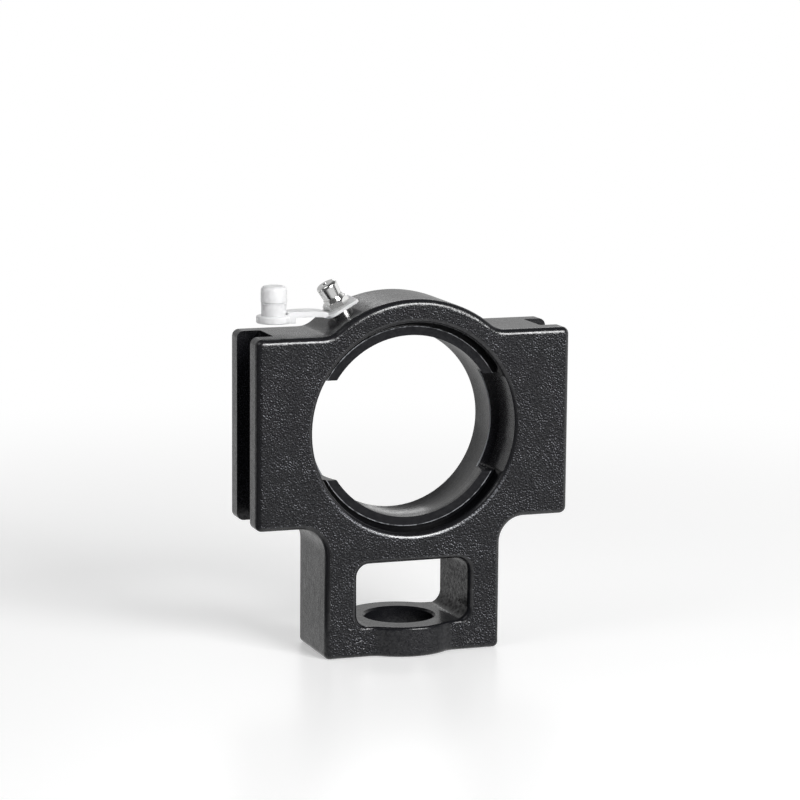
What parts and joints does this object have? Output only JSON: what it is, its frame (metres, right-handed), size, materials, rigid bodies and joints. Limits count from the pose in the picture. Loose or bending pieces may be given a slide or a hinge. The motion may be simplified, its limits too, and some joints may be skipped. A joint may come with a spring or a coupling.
{
  "type": "take-up bearing housing",
  "caption": "Cast take-up housing with side guide grooves, a spherical bearing seat with loading slots, an end window with a screw hole, and a capped grease nipple.",
  "frame": {"origin": "centre of the spherical bearing seat, midway between the front and back faces", "axes": "+X from the left guide to the right one, +Y to the back, +Z from the screw end to the top of the ring"},
  "size_m": [0.089, 0.032, 0.1016],
  "materials": {
    "casting": "black paint over fine cast grain, semi-gloss",
    "plated_steel": "bright zinc plating",
    "bearing_steel": "bright",
    "cap_plastic": "translucent white, soft sheen"
  },
  "bodies": {
    "housing_body": {"housing": "casting", "grease_nipple": "plated_steel", "nipple_spring": "bearing_steel", "nipple_cap": "cap_plastic"},
    "check_ball": {"nipple_ball": "bearing_steel"}
  },
  "joints": [
    {"name": "ball_lift", "type": "slide", "parent": "housing_body", "child": "check_ball", "axis": [0.4895, 0, -0.872], "range_m": [0, 0.0008], "stiffness_N_per_m": 250, "springref_m": -0.001, "deforming": ["nipple_spring"]}
  ]
}
